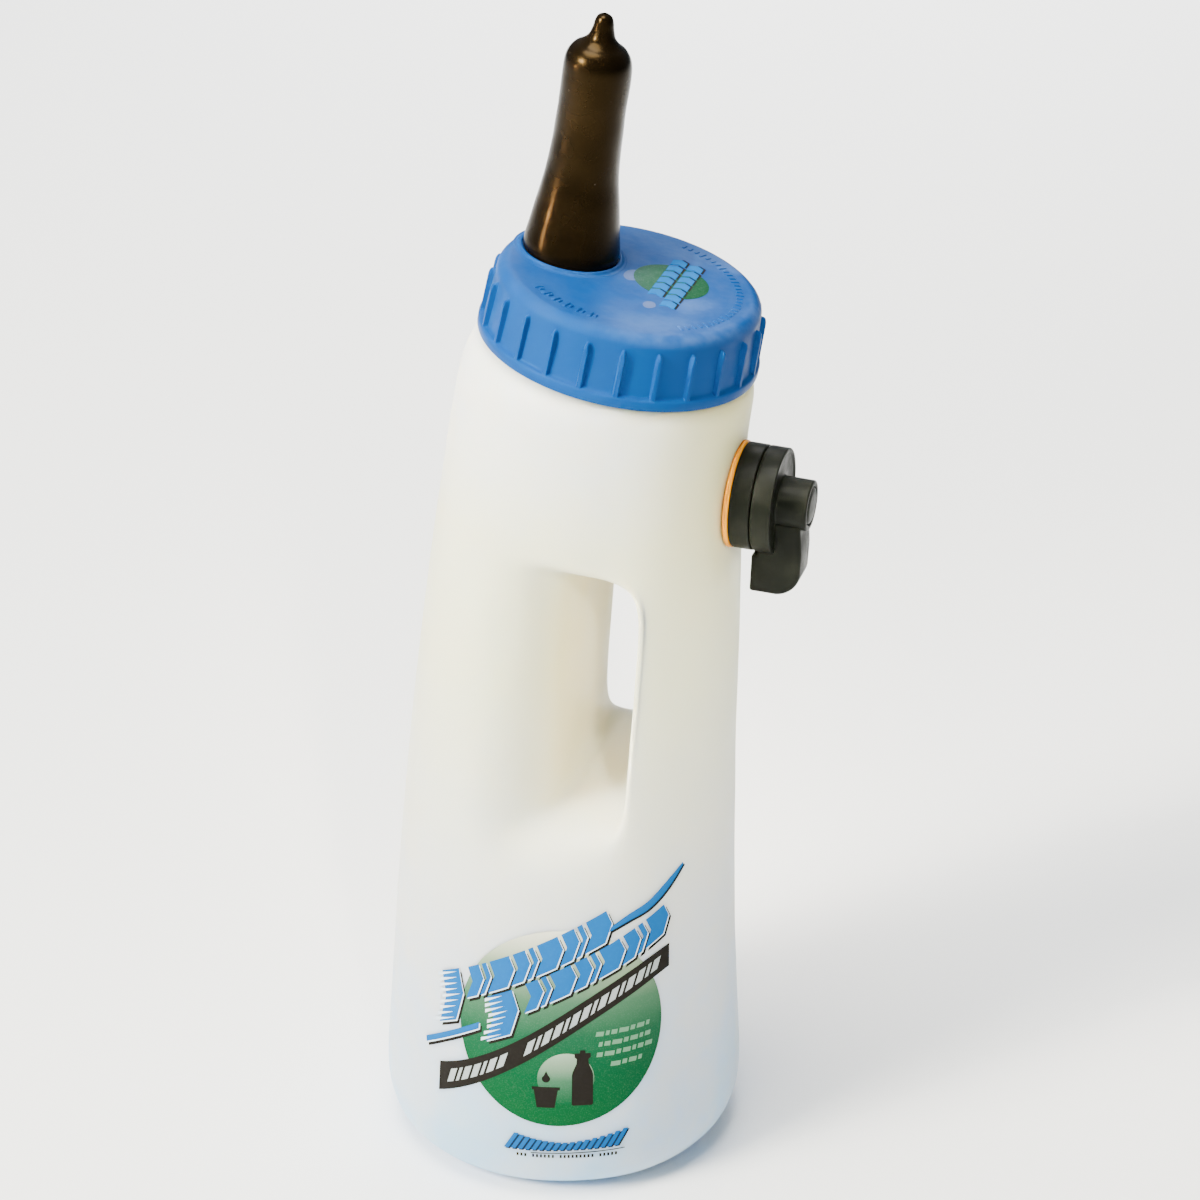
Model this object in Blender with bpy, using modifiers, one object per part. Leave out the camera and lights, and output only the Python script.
"""Calf feeding bottle: blow-moulded body with an integral handle, screw cap, rubber
teat and a three-stage rotary air valve.

Row frame: metres, +Z up, origin at the middle of the flat base, +X towards the handle
and the valve, -Y towards the label. Run: blender --background --python part.py
"""
import math

import bmesh
import bpy
from mathutils import Matrix, Vector

# ---------------------------------------------------------------- driving dimensions
GAP = 0.0003                      # clearance left between neighbouring pieces
WALL = 0.0022                     # wall of the blow-moulded body

BASE_CORNER = 0.018               # radius of the body's lower corner
BASE_FLAT_R = 0.057               # radius of the flat standing face
BODY_R = (                        # height, radius of the round body section
    (0.019, 0.0756), (0.045, 0.0734), (0.085, 0.0710), (0.125, 0.0689),
    (0.153, 0.0674), (0.184, 0.0657), (0.216, 0.0640), (0.248, 0.0624),
    (0.281, 0.0605), (0.302, 0.0593), (0.322, 0.0584), (0.3415, 0.0568),
)
BEND_HEIGHT = 0.335               # height at which the centre line has moved BEND_SHIFT
BEND_SHIFT = 0.0193
BEND_POWER = 2.2

WINDOW_MIDDLE = Vector((0.0230, 0.0, 0.2185))   # middle of the handle window
WINDOW_HANDLE_SIDE = 0.0215       # from there to the wall of the window on the handle
WINDOW_FRONT_SIDE = 0.0118        # and to the wall on the front column
WINDOW_UP = 0.0570                # and up to its ceiling
WINDOW_DOWN = 0.0505              # and down to its floor
WINDOW_LIP_HANDLE = 0.90          # how far out the window's straight part reaches,
WINDOW_LIP_FRONT = 0.74           # as a share of the wall's distance: beside the handle, in front
HANDLE_SQUEEZE = 0.94             # the handle is a little narrower than the body

NECK_TILT = math.radians(10.85)   # the neck leans towards the handle
NECK_FOOT = Vector((0.0237, 0.0, 0.352))   # neck axis at the cap's lower edge
NECK_R = 0.0468
NECK_TOP = 0.0242                 # height of the neck rim above NECK_FOOT
PITCH = 0.006                     # pitch of the cap's thread
THREAD_DEPTH = 0.0018
THREAD_FOOT = 0.0026              # width of a thread ridge at its foot
THREAD_CREST = 0.0010
NECK_THREAD_START = 0.0055
NECK_THREAD_TURNS = 1.5
CAP_THREAD_TURNS = 1.25

CAP_FLANGE_R = 0.0547
CAP_FLANGE_H = 0.0045
CAP_SKIRT_R = 0.0525
CAP_SHOULDER_R = 0.0512
CAP_TOP = 0.0285
CAP_CORNER = 0.0050
CAP_BORE_R = 0.0494
CAP_PLATE = 0.0027                # thickness of the cap's top
RIB_COUNT = 24
RIB_WIDTH = 0.0020
RIB_OUT_R = 0.0542

TEAT_PLACE = Vector((-0.0268, 0.0065, 0.0))   # teat axis on the cap
TEAT_HOLE_R = 0.0135
TEAT_COLLAR_R = 0.0204
TEAT_COLLAR_H = 0.0011
TEAT_BASE_R = 0.0186
TEAT_LENGTH = 0.0958
TEAT_LEAN = math.radians(2.6)     # lean of the rubber back from the cap's axis
TEAT_WALL = 0.0032

VALVE_CENTRE = Vector((0.0737, 0.0, 0.2957))   # middle of the fixed disc's inner face
VALVE_DIP = math.radians(2.6)     # the valve's axis points a little downwards
VALVE_R = 0.0207
SEAT = -0.0024                    # seat on the bottle, along the valve's axis
FIXED_DISC_H = 0.0080
KNOB_START = 0.0084
KNOB_DISC_H = 0.0079
HUB_R = 0.0100
HUB_END = 0.0280
HUB_BORE_R = 0.0076               # pocket for the screw head, closed by the hub cap
HUB_FLOOR = 0.0180
LEVER_REACH = 0.0374              # from the axis to the lever's free end
LEVER_WIDTH = 0.0165
LEVER_OUT = 0.0268                # outer face of the lever, along the valve's axis
LEVER_IN = 0.0071                 # inner face of its hanging part, under the fixed disc
LEVER_CORNER = 0.0105
SPIGOT_R = 0.0085
SPIGOT_END = -0.0150
WALL_HOLE_R = 0.0090
SPIGOT_BORE_R = 0.0062
CHAMBER_R = 0.0165                # chamber in the fixed disc, under the knob
CHAMBER_FLOOR = 0.0030
SCREW_HOLE_R = 0.0021
PORT_CIRCLE_R = 0.0043            # air ports lie on this circle round the screw
DISC_PORTS = (0.0006, 0.0010, 0.0015)   # radii of the slow, medium and fast air ports
VALVE_SWING = math.radians(60)

LABEL_AZIMUTH = math.radians(16)  # middle of the label, from -Y towards +X
LABEL_HALF_ANGLE = math.radians(45)
LABEL_LOW = 0.022
LABEL_HIGH = 0.148
FILM = 0.00022                    # thickness of the label film
CAP_LABEL_PLACE = Vector((0.0140, 0.0059, 0.0))
CAP_LABEL_R = 0.0150


# ---------------------------------------------------------------- scene and materials
def clear_scene():
    for item in list(bpy.data.objects):
        bpy.data.objects.remove(item, do_unlink=True)


def make_collection(name):
    collection = bpy.data.collections.new(name)
    bpy.context.scene.collection.children.link(collection)
    return collection


def make_material(name, colour, roughness, metallic=0.0):
    material = bpy.data.materials.new(name)
    material.use_nodes = True
    shader = material.node_tree.nodes["Principled BSDF"]
    shader.inputs["Base Color"].default_value = (*colour, 1.0)
    shader.inputs["Roughness"].default_value = roughness
    shader.inputs["Metallic"].default_value = metallic
    return material


clear_scene()
PARTS = make_collection("calf_feeding_bottle")
CUTTERS = make_collection("cutters")

NATURAL_PLASTIC = make_material("natural_polyethylene", (0.86, 0.84, 0.78), 0.38)
BLUE_PLASTIC = make_material("blue_polypropylene", (0.07, 0.22, 0.62), 0.40)
BLACK_PLASTIC = make_material("black_nylon", (0.016, 0.017, 0.014), 0.45)
BLACK_RUBBER = make_material("black_rubber", (0.014, 0.011, 0.009), 0.55)
YELLOW_RUBBER = make_material("yellow_rubber", (0.78, 0.38, 0.05), 0.50)
WHITE_RUBBER = make_material("white_silicone", (0.80, 0.80, 0.78), 0.50)
LABEL_FILM = make_material("printed_film", (0.04, 0.32, 0.16), 0.45)
STEEL = make_material("stainless_steel", (0.60, 0.60, 0.60), 0.30, 1.0)

# ---------------------------------------------------------------- frames and helpers
CAP_FRAME = Matrix.Translation(NECK_FOOT) @ Matrix.Rotation(NECK_TILT, 4, "Y")
VALVE_FRAME = (Matrix.Translation(VALVE_CENTRE)
               @ Matrix.Rotation(math.pi / 2 + VALVE_DIP, 4, "Y"))   # local +X hangs down
FACET_TURN = Matrix.Rotation(math.radians(7), 4, "Z")   # keeps a cutter's corners off edges


def add_mesh(name, mesh, frame, material=None, collection=None):
    """Link a mesh as an object placed by frame."""
    item = bpy.data.objects.new(name, mesh)
    (collection or PARTS).objects.link(item)
    item.matrix_world = frame
    if material:
        mesh.materials.append(material)
    return item


def cutter(name, mesh, frame):
    """A mesh that only cuts or joins: it is hidden and drawn as a wire."""
    item = add_mesh(name, mesh, frame, None, CUTTERS)
    item.hide_render = True
    item.display_type = "WIRE"
    return item


def boolean(item, other, operation):
    modifier = item.modifiers.new(operation.lower(), "BOOLEAN")
    modifier.operation = operation
    modifier.solver = "EXACT"
    modifier.object = other


def smooth(mesh, angle=35):
    mesh.shade_smooth()
    mesh.set_sharp_from_angle(angle=math.radians(angle))


def turned_mesh(name, profile, steps=32):
    """Turn a closed (radius, height) profile about Z. The profile runs down its outer side."""
    bm = bmesh.new()
    verts = [bm.verts.new((radius, 0.0, height)) for radius, height in profile]
    closed = all(radius > 0 for radius, _ in profile)
    pairs = list(zip(verts, verts[1:])) + ([(verts[-1], verts[0])] if closed else [])
    edges = [bm.edges.new(pair) for pair in pairs]
    bmesh.ops.spin(bm, geom=verts + edges, axis=(0, 0, 1), cent=(0, 0, 0), steps=steps,
                   angle=2 * math.pi, use_merge=True)
    bmesh.ops.remove_doubles(bm, verts=bm.verts, dist=0.00002)
    bmesh.ops.recalc_face_normals(bm, faces=bm.faces)
    mesh = bpy.data.meshes.new(name)
    bm.to_mesh(mesh)
    bm.free()
    smooth(mesh)
    return mesh


def cylinder_mesh(name, radius, low, high, steps=32):
    return turned_mesh(name, [(0, high), (radius, high), (radius, low), (0, low)], steps)


def ring_mesh(name, inner, outer, low, high, steps=32):
    profile = [(inner, high), (outer, high), (outer, low), (inner, low)]
    return turned_mesh(name, profile, steps)


def arc(centre_r, centre_z, radius, start, end, count):
    """Points of an arc in the (radius, height) plane, angles in degrees."""
    points = []
    for i in range(count + 1):
        angle = math.radians(start + (end - start) * i / count)
        points.append((centre_r + radius * math.cos(angle),
                       centre_z + radius * math.sin(angle)))
    return points


def helix_mesh(name, root_radius, depth, start, turns, steps=24):
    """A ridge of trapezium section along a helix. A negative depth points inwards."""
    bm = bmesh.new()
    count = int(turns * steps)
    sink = -0.0006 if depth > 0 else 0.0006
    rings = []
    for i in range(count + 1):
        angle = 2 * math.pi * i / steps
        height = start + PITCH * i / steps
        fade = min(1.0, i / 3, (count - i) / 3)
        crest = root_radius + depth * (0.15 + 0.85 * fade)
        section = ((root_radius + sink, -THREAD_FOOT / 2), (crest, -THREAD_CREST / 2),
                   (crest, THREAD_CREST / 2), (root_radius + sink, THREAD_FOOT / 2))
        rings.append([bm.verts.new((radius * math.cos(angle), radius * math.sin(angle),
                                    height + rise)) for radius, rise in section])
    for first, second in zip(rings, rings[1:]):
        for a in range(4):
            b = (a + 1) % 4
            bm.faces.new((first[a], first[b], second[b], second[a]))
    bm.faces.new(rings[0])
    bm.faces.new(rings[-1])
    bmesh.ops.recalc_face_normals(bm, faces=bm.faces)
    mesh = bpy.data.meshes.new(name)
    bm.to_mesh(mesh)
    bm.free()
    return mesh


# ---------------------------------------------------------------- bottle body
COLUMN_ANGLES = [math.radians(a) for a in (0, 20, 39, 57, 84, 108, 132, 156, 180)]
WINDOW_COLUMNS = (3, 5)           # columns between which the handle window is open
WINDOW_ROWS = (4, 8)              # rows of BODY_R between which it is open
VALVE_ROWS = (8, 11)              # rows of BODY_R that cross the valve's seat
CAGE_SWELL = 1.022                # a subdivided ring shrinks, so the cage is wider


def bend_x(height):
    return BEND_SHIFT * (max(height, 0.0) / BEND_HEIGHT) ** BEND_POWER


def section_tilt(height):
    return NECK_TILT * (max(height, 0.0) / NECK_FOOT.z) ** 1.5


def ring_points(centre, tilt, radius):
    """Half a ring, from the handle side (+X) round by -Y to the front (-X)."""
    across = Vector((math.cos(tilt), 0, -math.sin(tilt)))
    swell = radius * CAGE_SWELL
    return [centre + swell * (math.cos(a) * across - math.sin(a) * Vector((0, 1, 0)))
            for a in COLUMN_ANGLES]


def body_rings():
    """Cage rings from the middle of the base to the neck rim."""
    rings = []
    for radius in (BASE_FLAT_R - 0.006, BASE_FLAT_R + 0.002):
        rings.append(ring_points(Vector((0, 0, 0)), 0.0, radius))
    corner = BASE_CORNER * 0.35
    rings.append(ring_points(Vector((0, 0, corner * 0.8)), 0.0, BODY_R[0][1] - corner * 0.7))
    for height, radius in BODY_R:
        centre = Vector((bend_x(height), 0, height))
        rings.append(ring_points(centre, section_tilt(height), radius))
    up = CAP_FRAME.to_3x3() @ Vector((0, 0, 1))
    for radius, rise in ((0.0535, -0.0030), (0.0478, -0.0012), (NECK_R, 0.0030),
                         (NECK_R, NECK_TOP - 0.0020), (NECK_R, NECK_TOP)):
        rings.append(ring_points(NECK_FOOT + up * rise, NECK_TILT, radius))
    return rings


FIRST_BODY_RING = 3               # index of BODY_R's first ring in body_rings()


def flatten_valve_seat(rings):
    """Press the back wall flat where the valve sits."""
    axis = VALVE_FRAME.to_3x3() @ Vector((0, 0, 1))
    seat_point = VALVE_CENTRE + axis * (SEAT - 0.0002)
    for row in range(FIRST_BODY_RING + VALVE_ROWS[0], FIRST_BODY_RING + VALVE_ROWS[1]):
        for column in (0, 1):
            point = rings[row][column]
            rise = (point - seat_point).dot(axis)
            point.x -= rise / axis.x


def narrow_handle(rings):
    """Bring the handle's flanks in, so that a hand closes round it."""
    low, high = (FIRST_BODY_RING + row for row in WINDOW_ROWS)
    for row in range(low + 1, high):
        for column in (WINDOW_COLUMNS[0] - 1, WINDOW_COLUMNS[0]):
            rings[row][column].y *= HANDLE_SQUEEZE


def window_edge():
    """(row, column) of the cage points round the window, in order."""
    low, high = (FIRST_BODY_RING + row for row in WINDOW_ROWS)
    near, far = WINDOW_COLUMNS
    return ([(low, c) for c in range(near, far)]
            + [(r, far) for r in range(low, high)]
            + [(high, c) for c in range(far, near, -1)]
            + [(r, near) for r in range(high, low, -1)])


def window_loops(rings):
    """Loops that lead the window's edge in from the wall to the mirror plane."""
    low, high = (FIRST_BODY_RING + row for row in WINDOW_ROWS)
    near, far = WINDOW_COLUMNS
    loops = []
    for depth in (1.0, 0.5, 0.0):
        loop = []
        for row, column in window_edge():
            across = 1 - 2 * (column - near) / (far - near)
            rise = 2 * (row - low) / (high - low) - 1
            reach = WINDOW_UP if rise > 0 else WINDOW_DOWN
            height = WINDOW_MIDDLE.z + rise * reach
            bend = bend_x(height) - bend_x(WINDOW_MIDDLE.z)
            lip = WINDOW_LIP_HANDLE if across > 0 else WINDOW_LIP_FRONT
            half = WINDOW_HANDLE_SIDE if across > 0 else WINDOW_FRONT_SIDE
            loop.append(Vector((WINDOW_MIDDLE.x + bend + across * half,
                                rings[row][column].y * lip * depth, height)))
        loops.append(loop)
    return loops


def body_cage():
    """Half of the body's outer surface, open at the mirror plane and at the mouth."""
    rings = body_rings()
    flatten_valve_seat(rings)
    narrow_handle(rings)
    bm = bmesh.new()
    grid = [[bm.verts.new(point) for point in ring] for ring in rings]
    foot = bm.verts.new((0, 0, 0))
    for a, b in zip(grid[0], grid[0][1:]):
        bm.faces.new((foot, a, b))
    low, high = (FIRST_BODY_RING + row for row in WINDOW_ROWS)
    for row in range(len(grid) - 1):
        for column in range(len(COLUMN_ANGLES) - 1):
            in_window = low <= row < high and WINDOW_COLUMNS[0] <= column < WINDOW_COLUMNS[1]
            if not in_window:
                bm.faces.new((grid[row][column], grid[row][column + 1],
                              grid[row + 1][column + 1], grid[row + 1][column]))
    previous = [grid[row][column] for row, column in window_edge()]
    for loop in window_loops(rings):
        current = [bm.verts.new(point) for point in loop]
        for i in range(len(loop)):
            j = (i + 1) % len(loop)
            bm.faces.new((previous[i], previous[j], current[j], current[i]))
        previous = current
    bmesh.ops.recalc_face_normals(bm, faces=bm.faces)
    mesh = bpy.data.meshes.new("bottle_body")
    bm.to_mesh(mesh)
    bm.free()
    return mesh


def make_bottle_body():
    body = add_mesh("bottle_body", body_cage(), Matrix.Identity(4), NATURAL_PLASTIC)
    mirror = body.modifiers.new("mirror", "MIRROR")
    mirror.use_axis = (False, True, False)
    mirror.use_clip = True
    mirror.merge_threshold = 0.0001
    subdivision = body.modifiers.new("subdivision", "SUBSURF")
    subdivision.levels = 1
    subdivision.render_levels = 1
    shell = body.modifiers.new("shell", "SOLIDIFY")
    shell.thickness = WALL
    shell.offset = -1.0
    thread = helix_mesh("neck_thread", NECK_R, THREAD_DEPTH, NECK_THREAD_START,
                        NECK_THREAD_TURNS)
    boolean(body, cutter("cut_neck_thread", thread, CAP_FRAME), "UNION")
    hole = cylinder_mesh("wall_hole", WALL_HOLE_R, -0.030, 0.010)
    boolean(body, cutter("cut_wall_hole", hole, VALVE_FRAME), "DIFFERENCE")
    spot_face = cylinder_mesh("spot_face", VALVE_R + 0.0012, SEAT, 0.012)
    boolean(body, cutter("cut_spot_face", spot_face, VALVE_FRAME), "DIFFERENCE")
    return body


# ---------------------------------------------------------------- cap and teat
def cap_profile():
    inner_top = CAP_TOP - CAP_PLATE
    outer = [(0.0, CAP_TOP)]
    outer += arc(CAP_SHOULDER_R - CAP_CORNER, CAP_TOP - CAP_CORNER, CAP_CORNER, 90, 0, 4)
    outer += [(CAP_SKIRT_R, CAP_FLANGE_H + 0.0006), (CAP_FLANGE_R, CAP_FLANGE_H - 0.0004),
              (CAP_FLANGE_R, 0.0006), (CAP_FLANGE_R - 0.0006, 0.0)]
    inner = [(CAP_BORE_R, 0.0), (CAP_BORE_R, inner_top), (0.0, inner_top)]
    return outer + inner


def rib_mesh():
    """All ribs of the cap's skirt: upright bars with sloping tops."""
    bm = bmesh.new()
    half = RIB_WIDTH / 2
    inside = CAP_SHOULDER_R - 0.0015
    for i in range(RIB_COUNT):
        turn = Matrix.Rotation(2 * math.pi * i / RIB_COUNT, 4, "Z")
        outline = ((inside, 0.0036), (RIB_OUT_R, 0.0036), (RIB_OUT_R - 0.0006, 0.0195),
                   (CAP_SHOULDER_R - 0.0002, 0.0222), (inside, 0.0222))
        sides = [[bm.verts.new(turn @ Vector((radius, side, height)))
                  for radius, height in outline] for side in (-half, half)]
        bm.faces.new(sides[0])
        bm.faces.new(list(reversed(sides[1])))
        for a in range(len(outline)):
            b = (a + 1) % len(outline)
            bm.faces.new((sides[0][a], sides[1][a], sides[1][b], sides[0][b]))
    bmesh.ops.recalc_face_normals(bm, faces=bm.faces)
    mesh = bpy.data.meshes.new("cap_ribs")
    bm.to_mesh(mesh)
    bm.free()
    return mesh


def make_cap():
    cap = add_mesh("screw_cap", turned_mesh("screw_cap", cap_profile(), 48), CAP_FRAME,
                   BLUE_PLASTIC)
    boolean(cap, cutter("join_ribs", rib_mesh(), CAP_FRAME), "UNION")
    thread_start = NECK_THREAD_START + PITCH / 2
    thread = helix_mesh("cap_thread", CAP_BORE_R, -THREAD_DEPTH, thread_start,
                        CAP_THREAD_TURNS)
    boolean(cap, cutter("join_cap_thread", thread, CAP_FRAME), "UNION")
    teat_frame = CAP_FRAME @ Matrix.Translation(TEAT_PLACE)
    collar = ring_mesh("teat_collar", TEAT_BASE_R + GAP, TEAT_COLLAR_R, CAP_TOP - 0.0010,
                       CAP_TOP + TEAT_COLLAR_H)
    boolean(cap, cutter("join_collar", collar, teat_frame), "UNION")
    hole = cylinder_mesh("teat_hole", TEAT_HOLE_R, 0.0, 0.050)
    boolean(cap, cutter("cut_teat_hole", hole, teat_frame), "DIFFERENCE")
    gasket = ring_mesh("cap_gasket", NECK_R - WALL - 0.0001, NECK_R + 0.0008,
                       NECK_TOP + GAP, CAP_TOP - CAP_PLATE - GAP, 48)
    add_mesh("cap_gasket", gasket, CAP_FRAME, WHITE_RUBBER)
    return cap


def teat_profile():
    """Outer side from the tip down to the flange under the cap, then up the bore."""
    top = CAP_TOP + GAP
    under = CAP_TOP - CAP_PLATE - GAP
    tip = top + TEAT_LENGTH
    outer = [(0.0008, tip)]
    outer += arc(0.0004, tip - 0.0027, 0.0027, 78, 12, 2)
    outer += [(0.0034, tip - 0.0055), (0.0048, tip - 0.0092), (0.0075, tip - 0.0118)]
    outer += arc(0.0066, tip - 0.0186, 0.0062, 66, 4, 3)
    outer += [(0.0130, tip - 0.0420), (0.0141, top + 0.0330), (0.0157, top + 0.0225),
              (TEAT_BASE_R, top + 0.0035), (TEAT_BASE_R, top), (TEAT_HOLE_R - GAP, top),
              (TEAT_HOLE_R - GAP, under), (0.0160, under), (0.0160, under - 0.0024)]
    bore = [(0.0102, under - 0.0024), (0.0102, top), (0.0141 - TEAT_WALL, top + 0.0330),
            (0.0130 - TEAT_WALL, tip - 0.0280), (0.0055, tip - 0.0160),
            (0.0008, tip - 0.0100)]
    return outer + bore


def make_teat():
    mesh = turned_mesh("teat", teat_profile(), 24)
    foot = CAP_TOP + 0.0035
    for vert in mesh.vertices:
        vert.co.x -= math.tan(TEAT_LEAN) * max(0.0, vert.co.z - foot)
    mesh.transform(Matrix.Translation(TEAT_PLACE))    # its origin stays on the cap's axis
    add_mesh("teat", mesh, CAP_FRAME, BLACK_RUBBER)


def make_cap_label():
    low = CAP_TOP + GAP
    disc = cylinder_mesh("cap_label", CAP_LABEL_R, low, low + FILM, 32)
    disc.transform(Matrix.Translation(CAP_LABEL_PLACE))
    add_mesh("cap_label", disc, CAP_FRAME, LABEL_FILM)


# ---------------------------------------------------------------- front label
def make_front_label(body):
    """A thin film laid on the wall: a grid pulled onto the body, then given thickness."""
    columns = 14
    rows = 8
    bm = bmesh.new()
    grid = []
    for row in range(rows + 1):
        height = LABEL_LOW + (LABEL_HIGH - LABEL_LOW) * row / rows
        line = []
        for column in range(columns + 1):
            angle = LABEL_AZIMUTH + LABEL_HALF_ANGLE * (2 * column / columns - 1)
            outward = Vector((math.sin(angle), -math.cos(angle), 0))
            line.append(bm.verts.new(outward * 0.085 + Vector((bend_x(height), 0, height))))
        grid.append(line)
    for lower, upper in zip(grid, grid[1:]):
        for column in range(columns):
            bm.faces.new((lower[column], lower[column + 1], upper[column + 1], upper[column]))
    mesh = bpy.data.meshes.new("front_label")
    bm.to_mesh(mesh)
    bm.free()
    label = add_mesh("front_label", mesh, Matrix.Identity(4), LABEL_FILM)
    wrap = label.modifiers.new("lay_on_body", "SHRINKWRAP")
    wrap.target = body
    wrap.wrap_method = "NEAREST_SURFACEPOINT"
    wrap.wrap_mode = "ABOVE_SURFACE"
    wrap.offset = 0.0008
    film = label.modifiers.new("film", "SOLIDIFY")
    film.thickness = FILM
    film.offset = 1.0
    return label


# ---------------------------------------------------------------- valve
def make_valve_body():
    """Fixed disc with an open chamber and a hollow spigot through the bottle's wall."""
    profile = [
        (CHAMBER_R, FIXED_DISC_H), (VALVE_R - 0.0006, FIXED_DISC_H),
        (VALVE_R, FIXED_DISC_H - 0.0006), (VALVE_R, 0.0006), (VALVE_R - 0.0006, 0.0),
        (SPIGOT_R, 0.0), (SPIGOT_R, SPIGOT_END), (SPIGOT_BORE_R, SPIGOT_END),
        (SPIGOT_BORE_R, -0.0010), (SCREW_HOLE_R, -0.0010), (SCREW_HOLE_R, CHAMBER_FLOOR),
        (CHAMBER_R, CHAMBER_FLOOR),
    ]
    body = add_mesh("valve_body", turned_mesh("valve_body", profile), VALVE_FRAME,
                    BLACK_PLASTIC)
    inlet = cylinder_mesh("air_inlet", 0.0016, -0.010, 0.010, 16)
    frame = VALVE_FRAME @ Matrix.Translation((PORT_CIRCLE_R, 0, 0)) @ FACET_TURN
    boolean(body, cutter("cut_air_inlet", inlet, frame), "DIFFERENCE")


def lever_outline():
    """Side view of the lever: (distance below the axis, distance along the axis)."""
    heel = KNOB_START + 0.0010
    clear = VALVE_R + 0.0008
    points = [(0.0060, heel), (0.0060, 0.0255), (0.0180, LEVER_OUT)]
    points += arc(LEVER_REACH - LEVER_CORNER, LEVER_OUT - LEVER_CORNER, LEVER_CORNER, 85, 8, 5)
    points += [(LEVER_REACH, LEVER_IN), (clear, LEVER_IN), (clear, heel)]
    return points


def lever_mesh():
    """The lever's side view, extruded, narrower towards its free end."""
    bm = bmesh.new()
    sides = []
    for side in (-1, 1):
        line = []
        for down, along in lever_outline():
            half = LEVER_WIDTH / 2 - 0.0012 * (down / LEVER_REACH)
            line.append(bm.verts.new((down, side * half, along)))
        sides.append(line)
    bm.faces.new(sides[0])
    bm.faces.new(list(reversed(sides[1])))
    count = len(sides[0])
    for a in range(count):
        b = (a + 1) % count
        bm.faces.new((sides[0][a], sides[1][a], sides[1][b], sides[0][b]))
    bmesh.ops.recalc_face_normals(bm, faces=bm.faces)
    mesh = bpy.data.meshes.new("lever")
    bm.to_mesh(mesh)
    bm.free()
    return mesh


def make_valve_knob():
    """Turning disc with its hub, the lever and a hollow stem over the screw."""
    end = KNOB_START + KNOB_DISC_H
    profile = [
        (HUB_BORE_R, HUB_END), (HUB_R - 0.0008, HUB_END), (HUB_R, HUB_END - 0.0008),
        (HUB_R, end), (VALVE_R - 0.0008, end), (VALVE_R, end - 0.0008),
        (VALVE_R, KNOB_START + 0.0006), (VALVE_R - 0.0006, KNOB_START),
        (SCREW_HOLE_R, KNOB_START), (SCREW_HOLE_R, HUB_FLOOR), (HUB_BORE_R, HUB_FLOOR),
    ]
    knob = add_mesh("valve_knob", turned_mesh("valve_knob", profile), VALVE_FRAME,
                    BLACK_PLASTIC)
    boolean(knob, cutter("join_lever", lever_mesh(), VALVE_FRAME), "UNION")
    bore = cylinder_mesh("hub_bore", HUB_BORE_R, HUB_FLOOR, 0.0400)
    boolean(knob, cutter("cut_hub_bore", bore, VALVE_FRAME), "DIFFERENCE")
    return knob


def make_metering_disc():
    """Disc that turns with the knob and brings one of three air ports to the inlet."""
    low = CHAMBER_FLOOR + GAP
    mesh = ring_mesh("metering_disc", SCREW_HOLE_R, CHAMBER_R - 0.0007, low, low + 0.0018)
    disc = add_mesh("metering_disc", mesh, VALVE_FRAME, WHITE_RUBBER)
    for step, radius in zip((-1, 0, 1), DISC_PORTS):
        angle = step * VALVE_SWING
        place = PORT_CIRCLE_R * Vector((math.cos(angle), math.sin(angle), 0))
        port = cylinder_mesh("air_port", radius, 0.0, 0.010, 12)
        frame = VALVE_FRAME @ Matrix.Translation(place) @ FACET_TURN
        boolean(disc, cutter(f"cut_port_{step + 1}", port, frame), "DIFFERENCE")


def hexagon_ring(name, flat_radius, bore, low, high):
    """A six-sided nut with a round bore."""
    bm = bmesh.new()
    rings = {}
    corner = flat_radius / math.cos(math.pi / 6)
    for key, radius, height in (("oh", corner, high), ("ol", corner, low),
                                ("ih", bore, high), ("il", bore, low)):
        rings[key] = []
        for i in range(24):
            angle = 2 * math.pi * i / 24
            if key[0] == "o":
                local = (angle + math.pi / 6) % (math.pi / 3) - math.pi / 6
                reach = flat_radius / math.cos(local)
            else:
                reach = radius
            rings[key].append(bm.verts.new((reach * math.cos(angle),
                                            reach * math.sin(angle), height)))
    for first, second in (("oh", "ol"), ("ol", "il"), ("il", "ih"), ("ih", "oh")):
        for a in range(24):
            b = (a + 1) % 24
            bm.faces.new((rings[first][a], rings[second][a], rings[second][b],
                          rings[first][b]))
    bmesh.ops.recalc_face_normals(bm, faces=bm.faces)
    mesh = bpy.data.meshes.new(name)
    bm.to_mesh(mesh)
    bm.free()
    return mesh


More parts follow.
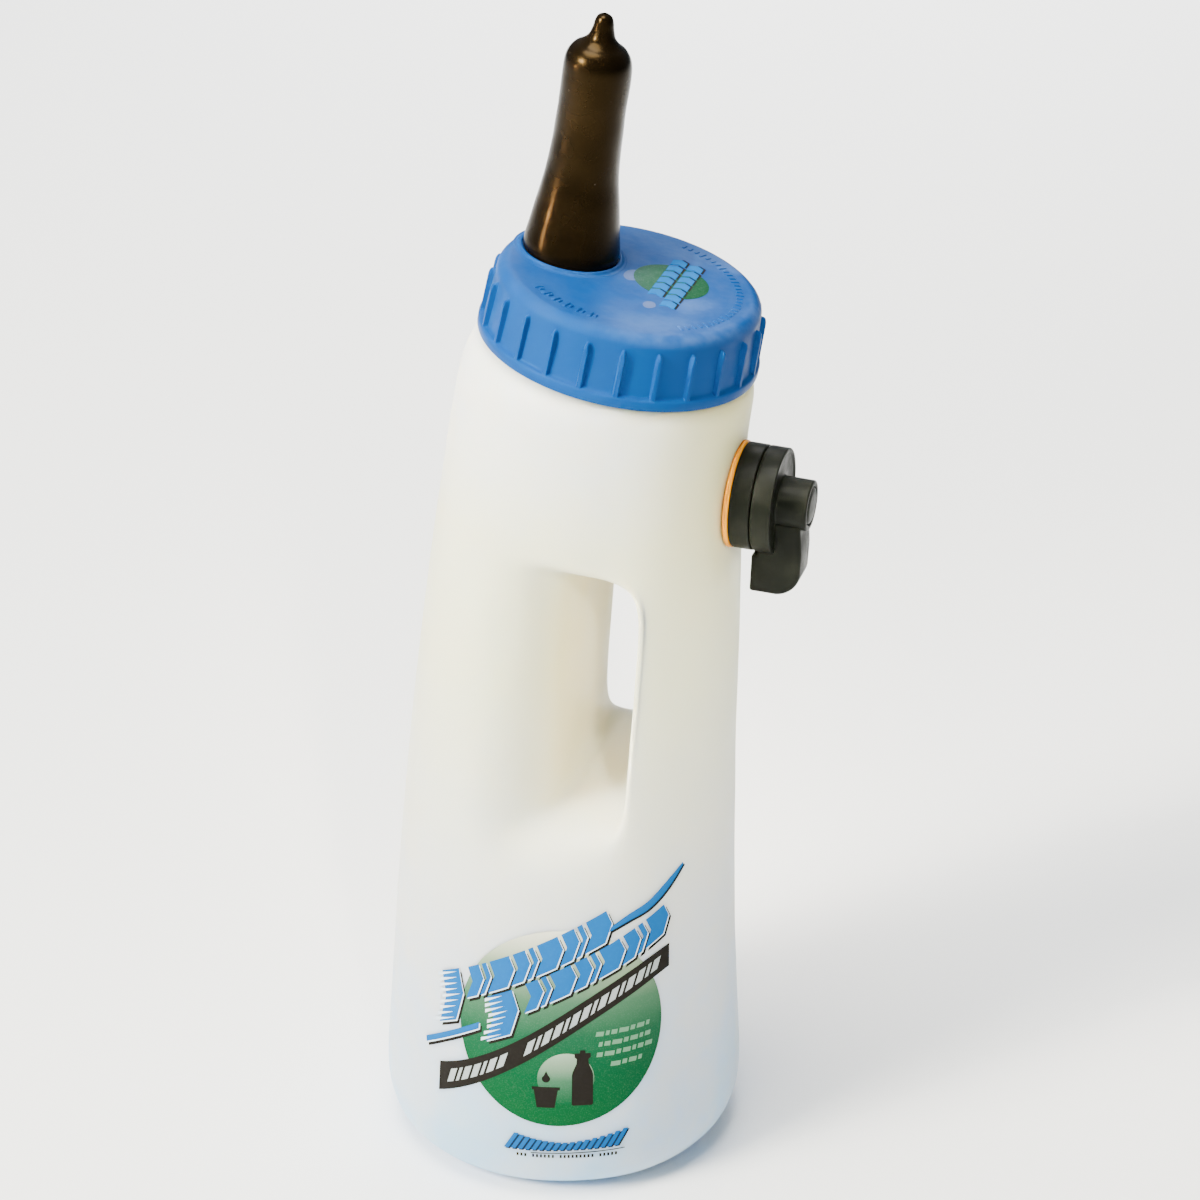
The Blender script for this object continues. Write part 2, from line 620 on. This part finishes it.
def make_valve_small_parts():
    """Seals, fastenings and the one-way flap of the valve."""
    rings = (
        ("valve_gasket", 0.0093, VALVE_R - 0.0001, SEAT + GAP, -GAP, YELLOW_RUBBER),
        ("inner_washer", SPIGOT_R + GAP, 0.0130, SEAT - 0.0042, SEAT - 0.0031, BLACK_RUBBER),
        ("spring_washer", 0.0045, 0.0085, 0.0058, 0.0078, STEEL),
    )
    for name, inner, outer, low, high, material in rings:
        add_mesh(name, ring_mesh(name, inner, outer, low, high), VALVE_FRAME, material)
    nut = hexagon_ring("valve_backnut", 0.0135, SPIGOT_R + GAP, SPIGOT_END + 0.0020,
                       SEAT - 0.0045)
    add_mesh("valve_backnut", nut, VALVE_FRAME, BLACK_PLASTIC)
    cap = [(0, HUB_END + 0.0004), (0.0064, HUB_END + 0.0004), (0.0072, HUB_END - 0.0004),
           (0.0072, HUB_END - 0.0030), (0, HUB_END - 0.0030)]
    add_mesh("hub_cap", turned_mesh("hub_cap", cap), VALVE_FRAME, BLACK_PLASTIC)
    head = HUB_FLOOR + GAP
    shank = SCREW_HOLE_R - GAP
    screw = [(0, head + 0.0030), (0.0036, head + 0.0030), (0.0042, head + 0.0024),
             (0.0042, head), (shank, head), (shank, -0.0005), (0, -0.0005)]
    add_mesh("knob_screw", turned_mesh("knob_screw", screw, 24), VALVE_FRAME, STEEL)
    seat = ring_mesh("flap_seat", 0.0016, SPIGOT_BORE_R - GAP, SPIGOT_END,
                     SPIGOT_END + 0.0016, 24)
    flap_seat = add_mesh("flap_seat", seat, VALVE_FRAME, BLACK_PLASTIC)
    for i in range(4):
        angle = math.pi / 2 * i
        place = 0.0038 * Vector((math.cos(angle), math.sin(angle), 0))
        slot = cylinder_mesh("air_slot", 0.0009, -0.030, 0.0, 8)
        frame = VALVE_FRAME @ Matrix.Translation(place) @ FACET_TURN
        boolean(flap_seat, cutter(f"cut_air_slot_{i}", slot, frame), "DIFFERENCE")
    flap = [(0, SPIGOT_END + 0.0034), (0.0013, SPIGOT_END + 0.0034),
            (0.0013, SPIGOT_END - GAP), (0.0076, SPIGOT_END - GAP),
            (0.0074, SPIGOT_END - 0.0010), (0.0030, SPIGOT_END - 0.0022),
            (0, SPIGOT_END - 0.0024)]
    add_mesh("check_flap", turned_mesh("check_flap", flap, 24), VALVE_FRAME, WHITE_RUBBER)


# ---------------------------------------------------------------- assembly
bottle = make_bottle_body()
make_front_label(bottle)
make_cap()
make_teat()
make_cap_label()
make_valve_body()
make_valve_knob()
make_metering_disc()
make_valve_small_parts()
